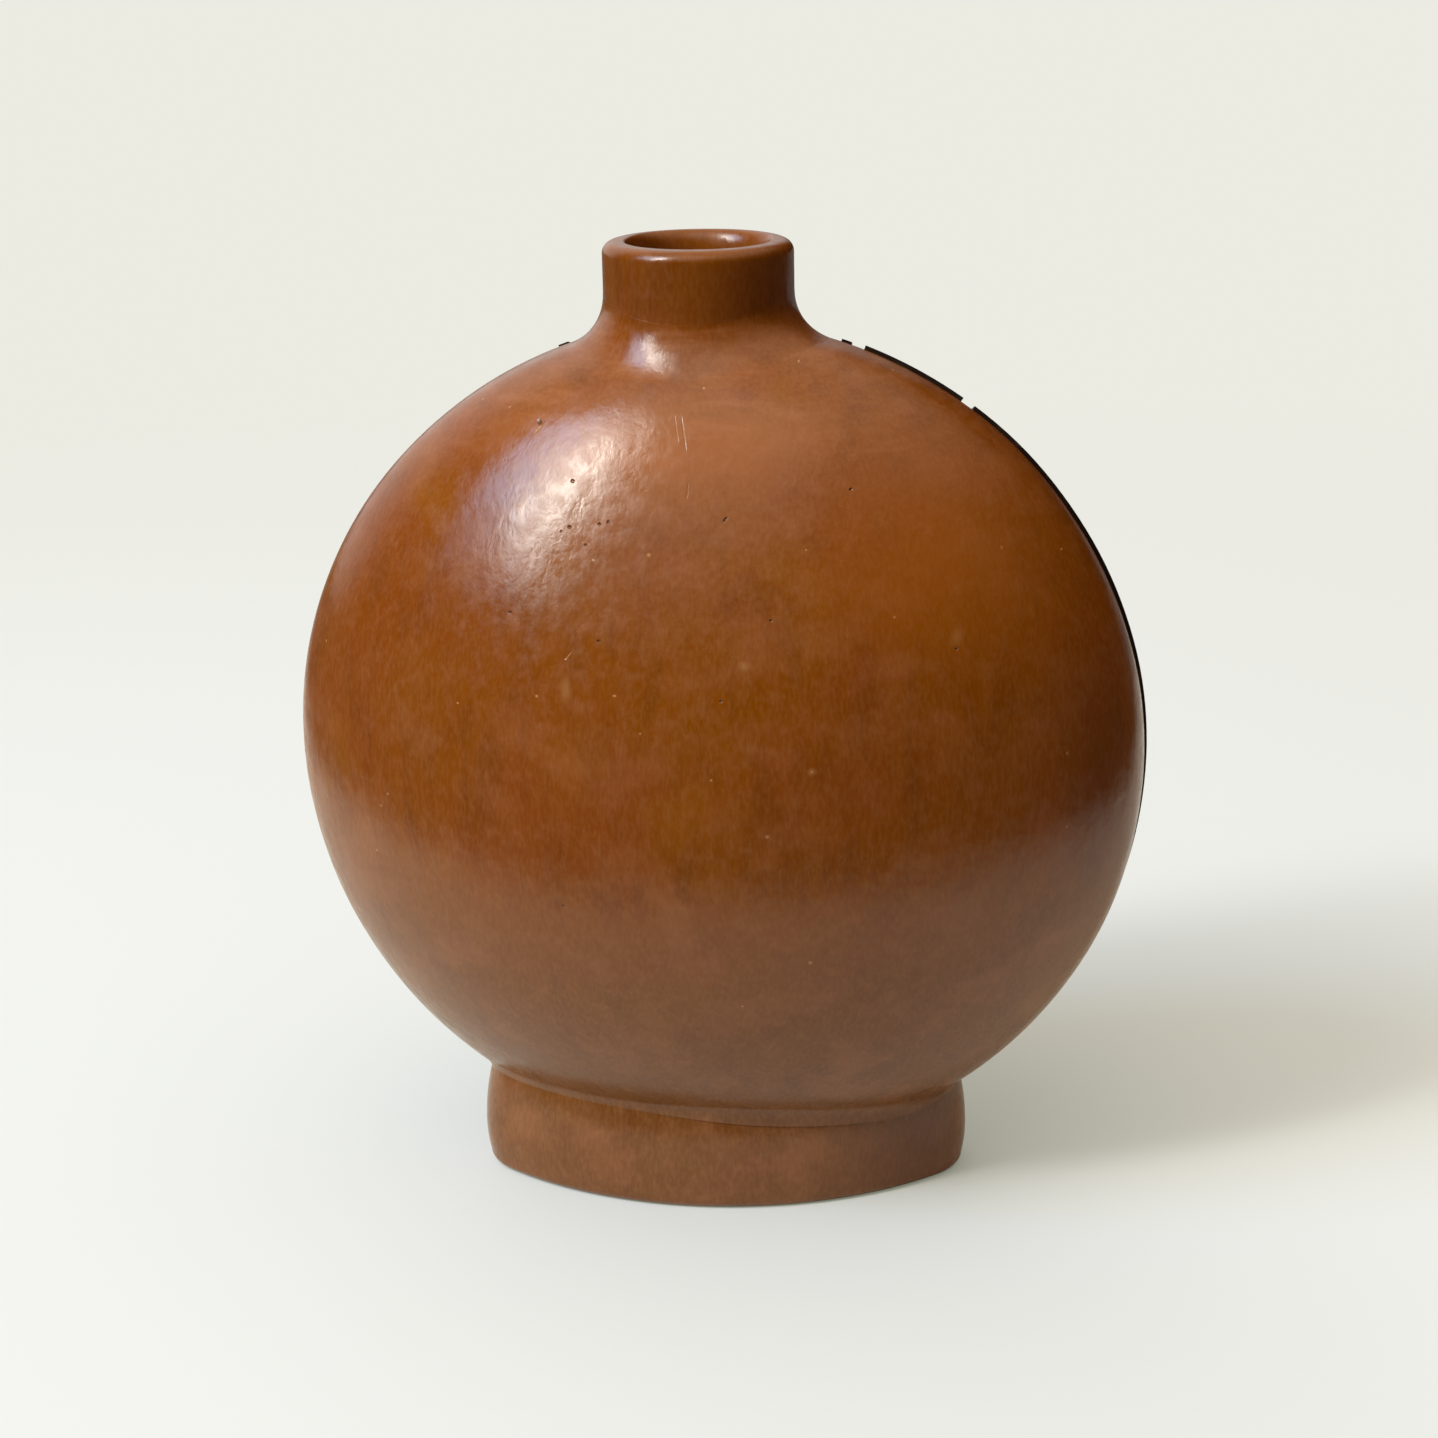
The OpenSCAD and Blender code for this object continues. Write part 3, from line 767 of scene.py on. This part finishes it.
class FLASK_OT_foot(bpy.types.Operator):
    """Lofts the oval foot ring along its plan, up into the body's wall"""

    bl_idname = "flask.foot"
    bl_label = "Foot ring"

    def execute(self, context):
        s = sizes()
        turns, outer_steps, inner_steps, round_steps = 240, 20, 10, 8
        outer_round, inner_round = 2.8 * MM, 1.6 * MM

        def place(row, column):
            share = row / turns
            top = under_body(share, crease_out(share), -2 * MM)
            if column <= outer_steps:
                z = top + (outer_round - top) * column / outer_steps
                return foot_point(share, -foot_inset(z), z)
            column -= outer_steps
            if column <= round_steps:
                a = math.pi / 2 * column / round_steps
                z = outer_round * (1 - math.sin(a))
                return foot_point(share, -foot_inset(outer_round) - outer_round * (1 - math.cos(a)), z)
            column -= round_steps
            if column <= round_steps:
                a = math.pi / 2 * column / round_steps
                z = inner_round * (1 - math.cos(a))
                return foot_point(share, inner_round * (1 - math.sin(a)) - s.foot_wall, z)
            column -= round_steps
            inner_top = under_body(share, -s.foot_wall, -2 * MM)
            z = inner_round + (inner_top - inner_round) * column / inner_steps
            return foot_point(share, -s.foot_wall, z)

        piece = wrapped(turns, outer_steps + 2 * round_steps + inner_steps + 1, place, "foot_smooth")
        finish_piece(piece, material("burnished_terracotta"), "root", "foot_clay", "foot_ring", angle=60)
        return {"FINISHED"}


class FLASK_OT_foot_coil(bpy.types.Operator):
    """Smooths the coil into the crease between the foot and the body"""

    bl_idname = "flask.foot_coil"
    bl_label = "Foot coils"

    def execute(self, context):
        s = sizes()
        steps, turns = 16, 240

        def place(row, column):
            share = row / turns
            thin = 1 - 0.5 * bump(2 * math.pi * share, math.radians(15), math.radians(75))
            reach, drop = 3.4 * MM * thin, 2.1 * MM * thin
            out = crease_out(share)
            corner = under_body(share, out)
            low = corner - drop
            ridge = 0.8 * s.ridge * bump(2 * math.pi * share, math.radians(97), math.radians(55))
            curve = [(ridge - foot_inset(low), low),
                     (ridge - foot_inset(low) + 0.1 * MM, low + drop / 2),
                     (out + reach * 0.45, under_body(share, out + reach * 0.45) - 0.05 * MM),
                     (out + reach, under_body(share, out + reach, -0.03 * MM))]
            if column <= steps:
                r, z = bezier(curve, column / steps)
            elif column == steps + 1:
                r, z = out + reach, under_body(share, out + reach, -1 * MM)
            elif column == steps + 2:
                r, z = out - MM, under_body(share, out - MM, -1 * MM)
            else:
                r, z = -foot_inset(low) - MM, low
            return foot_point(share, r, z)

        piece = wrapped(turns, steps + 4, place, "foot_crease_smooth")
        finish_piece(piece, material("burnished_terracotta"), "root", "foot_clay", "foot_outer_coil", angle=60)
        return {"FINISHED"}


class FLASK_OT_hidden_coils(bpy.types.Operator):
    """Gives the coils inside the body and under the foot their matt clay"""

    bl_idname = "flask.hidden_coils"
    bl_label = "Inner coils"

    def execute(self, context):
        for name in ("seam_coil", "foot_inner_coil"):
            finish_piece(merged_copy(name), material("raw_terracotta"), "root", "raw_clay", name)
        return {"FINISHED"}


class FLASK_OT_relief(bpy.types.Operator):
    """Lays the black panels of the border on the back"""

    bl_idname = "flask.relief"
    bl_label = "Black border"

    def execute(self, context):
        for name in sorted(n for n in frame["nodes"] if n.startswith("relief_")):
            finish_piece(merged_copy(name), material("burnished_black_slip"), "root", "black_slip", name, angle=15)
        return {"FINISHED"}


def toward(azimuth, elevation):
    """Unit vector to a place in the room: azimuth left of the front, elevation above the level."""
    a, e = math.radians(azimuth), math.radians(elevation)
    return Vector((-math.sin(a) * math.cos(e), -math.cos(a) * math.cos(e), math.sin(e)))


def soft_light(name, azimuths, elevations, power, tint):
    """Pane of light far off, from one azimuth to another and one elevation to another.

    Its power is in watts for a square metre of the pane.
    """
    azimuth, elevation = sum(azimuths) / 2, sum(elevations) / 2
    away = toward(azimuth, elevation)
    level = PANE_DISTANCE * math.cos(math.radians(elevation))
    lamp = bpy.data.lights.new(name, "AREA")
    lamp.shape = "RECTANGLE"
    lamp.size = 2 * level * math.tan(math.radians(azimuths[1] - azimuths[0]) / 2)
    lamp.size_y = 2 * PANE_DISTANCE * math.tan(math.radians(elevations[1] - elevations[0]) / 2)
    lamp.energy = power * lamp.size * lamp.size_y
    lamp.color = tint
    holder = bpy.data.objects.new(name, lamp)
    bpy.context.scene.collection.objects.link(holder)
    holder.location = Vector((0, 0, body_z())) + away * PANE_DISTANCE
    holder.rotation_euler = away.to_track_quat("Z", "Y").to_euler()


PANE_DISTANCE = 5.2
WARM, SKY = (1, 0.97, 0.89), (0.5, 0.7, 1)
# Panes of the window: azimuths, elevations, watts for a square metre, tint
PANES = {
    "bright_pane": ((41, 52), (28, 44), 38, WARM),
    "core_pane": ((39.5, 46.5), (33, 48), 60, WARM),
    "lower_pane": ((45, 55), (22, 34), 39, WARM),
    "upper_pane": ((41, 52), (44, 56), 20, WARM),
    "inner_pane": ((30, 41), (37, 54), 24, WARM),
    "sky_pane": ((52, 60), (28, 56), 27, SKY),
    "outer_sky": ((60, 72), (28, 50), 23, SKY),
    "low_sky": ((46, 72), (18, 28), 6, SKY),
}
# Soft parts of the room: azimuth, elevation, half angle where each fades out, where it is full, light
ROOM = {
    "ceiling": (0, 90, 65, 20, (0.92, 0.76, 0.59)),
    "haze": (22, 52, 40, 5, (1.02, 0.87, 0.73)),
    "back_left": (143, 20, 47, 12, (0.78, 0.8, 0.79)),
    "front_right": (-45, 45, 40, 10, (0.06, 0.05, 0.04)),
}


def light_room(scene, parts):
    """World made of soft round parts that add up, each brightest at its middle; plain where it is seen."""
    world = bpy.data.worlds.new("room")
    scene.world = world
    world.use_nodes = True
    tree = world.node_tree
    tree.nodes.clear()
    where = tree.nodes.new("ShaderNodeTexCoord").outputs["Generated"]
    total = (0, 0, 0, 1)
    for azimuth, elevation, out, full, light in parts.values():
        near = add_node(tree, "ShaderNodeVectorMath", {"operation": "DOT_PRODUCT", 1: toward(azimuth, elevation)},
                        {0: where})
        amount = ramp(tree, near.outputs["Value"], math.cos(math.radians(min(out, 180))) - (out > 180),
                      math.cos(math.radians(full)))
        total = mix_colour(tree, amount, total, (*light, 1), "ADD")
    seen = tree.nodes.new("ShaderNodeLightPath").outputs["Is Camera Ray"]
    shown = mix_colour(tree, seen, total, list(colours().backdrop))
    glow = add_node(tree, "ShaderNodeBackground", {"Strength": 1.0}, {"Color": shown})
    output = tree.nodes.new("ShaderNodeOutputWorld")
    tree.links.new(glow.outputs[0], output.inputs["Surface"])


def pale_sheet():
    """Sheet of pale paper, matt and even, on a dark table; only its gloss and bounce know where it ends.

    The sheet is round in front of the flask and widens behind it.
    """
    finish, tree, shader, where = new_material("pale_sheet")
    c = colours()
    shader.inputs["Roughness"].default_value = 0.9
    shader.inputs["Specular IOR Level"].default_value = 0.2
    path = tree.nodes.new("ShaderNodeLightPath")
    seen, mirrored = path.outputs["Is Camera Ray"], path.outputs["Is Glossy Ray"]

    def maths(operation, *values):
        made = add_node(tree, "ShaderNodeMath", {"operation": operation})
        for socket, value in zip(made.inputs, values, strict=False):
            if isinstance(value, bpy.types.NodeSocket):
                tree.links.new(value, socket)
            else:
                socket.default_value = value
        return made.outputs[0]

    place = add_node(tree, "ShaderNodeSeparateXYZ", links={0: where}).outputs
    behind = maths("SUBTRACT", place["Y"], 0.15)
    across = maths("SUBTRACT", maths("ABSOLUTE", place["X"], 0.0),
                   maths("MULTIPLY", maths("MAXIMUM", behind, 0.0), 0.5))
    across = maths("MAXIMUM", across, 0.0)
    front = maths("MULTIPLY", maths("MINIMUM", behind, 0.0), 1.13)
    edge = maths("SQRT", maths("ADD", maths("MULTIPLY", across, across), maths("MULTIPLY", front, front)), 0.0)
    sheet = maths("MAXIMUM", ramp(tree, edge, 0.43, 0.32), seen)
    tone = mix_colour(tree, sheet, list(c.table), list(c.floor))
    tone = mix_colour(tree, seen, tone, list(c.floor_seen))
    tree.links.new(tone, shader.inputs["Base Color"])
    shader.inputs["Emission Color"].default_value = c.floor_fill
    tree.links.new(seen, shader.inputs["Emission Strength"])
    away = add_node(tree, "ShaderNodeVectorMath", {"operation": "LENGTH"}, {0: where}).outputs["Value"]
    shown = maths("MULTIPLY", maths("MAXIMUM", seen, mirrored), sheet)
    far = maths("MULTIPLY", ramp(tree, away, 0.3, 1.1), shown)
    glow = add_node(tree, "ShaderNodeEmission", {"Color": list(c.backdrop)},
                    {"Strength": ramp(tree, seen, 0.0, 1.0, 0.2, 1.0)})
    blend = add_node(tree, "ShaderNodeMixShader", links={0: far, 1: shader.outputs[0], 2: glow.outputs[0]})
    out = next(n for n in tree.nodes if n.type == "OUTPUT_MATERIAL")
    tree.links.new(blend.outputs[0], out.inputs["Surface"])
    return finish


class FLASK_OT_stage(bpy.types.Operator):
    """Pale floor, soft window light and the camera"""

    bl_idname = "flask.stage"
    bl_label = "Stage"

    def execute(self, context):
        scene = context.scene
        deselect()
        bpy.ops.mesh.primitive_plane_add(size=24, location=(0, 0, 0))
        floor = name_piece("floor")
        floor.data.materials.append(pale_sheet())
        for name, pane in PANES.items():
            soft_light(name, *pane)
        light_room(scene, ROOM)
        scene.view_settings.view_transform = "Standard"
        self.camera(scene)
        return {"FINISHED"}

    def camera(self, scene):
        """The photograph's view: where its body centre falls in the 1438 pixel frame is kept."""
        pixels, focal = 1438, 2900
        centre_u, centre_v = 716.4, 743.0
        turn, rise, roll = math.radians(10.03), math.radians(17.14), math.radians(1.17)
        distance = 705.6 * MM
        aim = Vector((0, 0, body_z()))
        away = Vector((math.sin(turn) * math.cos(rise), -math.cos(turn) * math.cos(rise), math.sin(rise)))
        forward = -away
        right = forward.cross(Vector((0, 0, 1))).normalized()
        up = right.cross(forward)
        base = Matrix((right, up, forward))
        off = Vector(((centre_u - pixels / 2) / focal, -(centre_v - pixels / 2) / focal, 1)).normalized()
        yaw, pitch = math.atan2(off.x, off.z), math.asin(off.y)
        spin = Matrix(((math.cos(roll), -math.sin(roll), 0), (math.sin(roll), math.cos(roll), 0), (0, 0, 1)))
        tip = Matrix(((1, 0, 0), (0, math.cos(pitch), math.sin(pitch)), (0, -math.sin(pitch), math.cos(pitch))))
        pan = Matrix(((math.cos(yaw), 0, math.sin(yaw)), (0, 1, 0), (-math.sin(yaw), 0, math.cos(yaw))))
        seen = pan @ tip @ spin @ base
        lens = bpy.data.cameras.new("camera")
        lens.sensor_width = 36
        lens.lens = focal / pixels * lens.sensor_width
        lens.clip_start = 0.01
        lens.clip_end = 50
        camera = bpy.data.objects.new("camera", lens)
        scene.collection.objects.link(camera)
        rows = (seen[0], seen[1], -seen[2])
        camera.matrix_world = Matrix.Translation(aim + away * distance) @ Matrix(rows).transposed().to_4x4()
        scene.camera = camera


class FLASK_PT_panel(bpy.types.Panel):
    """Lists the flask's pieces in the sidebar"""

    bl_idname = "FLASK_PT_panel"
    bl_label = "Pilgrim flask"
    bl_space_type = "VIEW_3D"
    bl_region_type = "UI"
    bl_category = "Flask"

    def draw(self, context):
        for operator in PIECES:
            self.layout.operator(operator.bl_idname)
        for group in (context.scene.flask_sizes, context.scene.flask_colours):
            for key in group.__annotations__:
                self.layout.prop(group, key)


PIECES = (
    FLASK_OT_shells,
    FLASK_OT_neck,
    FLASK_OT_collar,
    FLASK_OT_foot,
    FLASK_OT_foot_coil,
    FLASK_OT_hidden_coils,
    FLASK_OT_relief,
    FLASK_OT_stage,
)
CLASSES = (FlaskSizes, FlaskColours, *PIECES, FLASK_PT_panel)


def register():
    for cls in CLASSES:
        bpy.utils.register_class(cls)
    bpy.types.Scene.flask_sizes = PointerProperty(type=FlaskSizes)
    bpy.types.Scene.flask_colours = PointerProperty(type=FlaskColours)


def unregister():
    del bpy.types.Scene.flask_colours
    del bpy.types.Scene.flask_sizes
    for cls in reversed(CLASSES):
        bpy.utils.unregister_class(cls)


def main():
    register()
    bpy.ops.flask.shells()
    bpy.ops.flask.neck()
    bpy.ops.flask.collar()
    bpy.ops.flask.foot()
    bpy.ops.flask.foot_coil()
    bpy.ops.flask.hidden_coils()
    bpy.ops.flask.relief()
    bpy.ops.flask.stage()


if __name__ == "__main__":
    main()
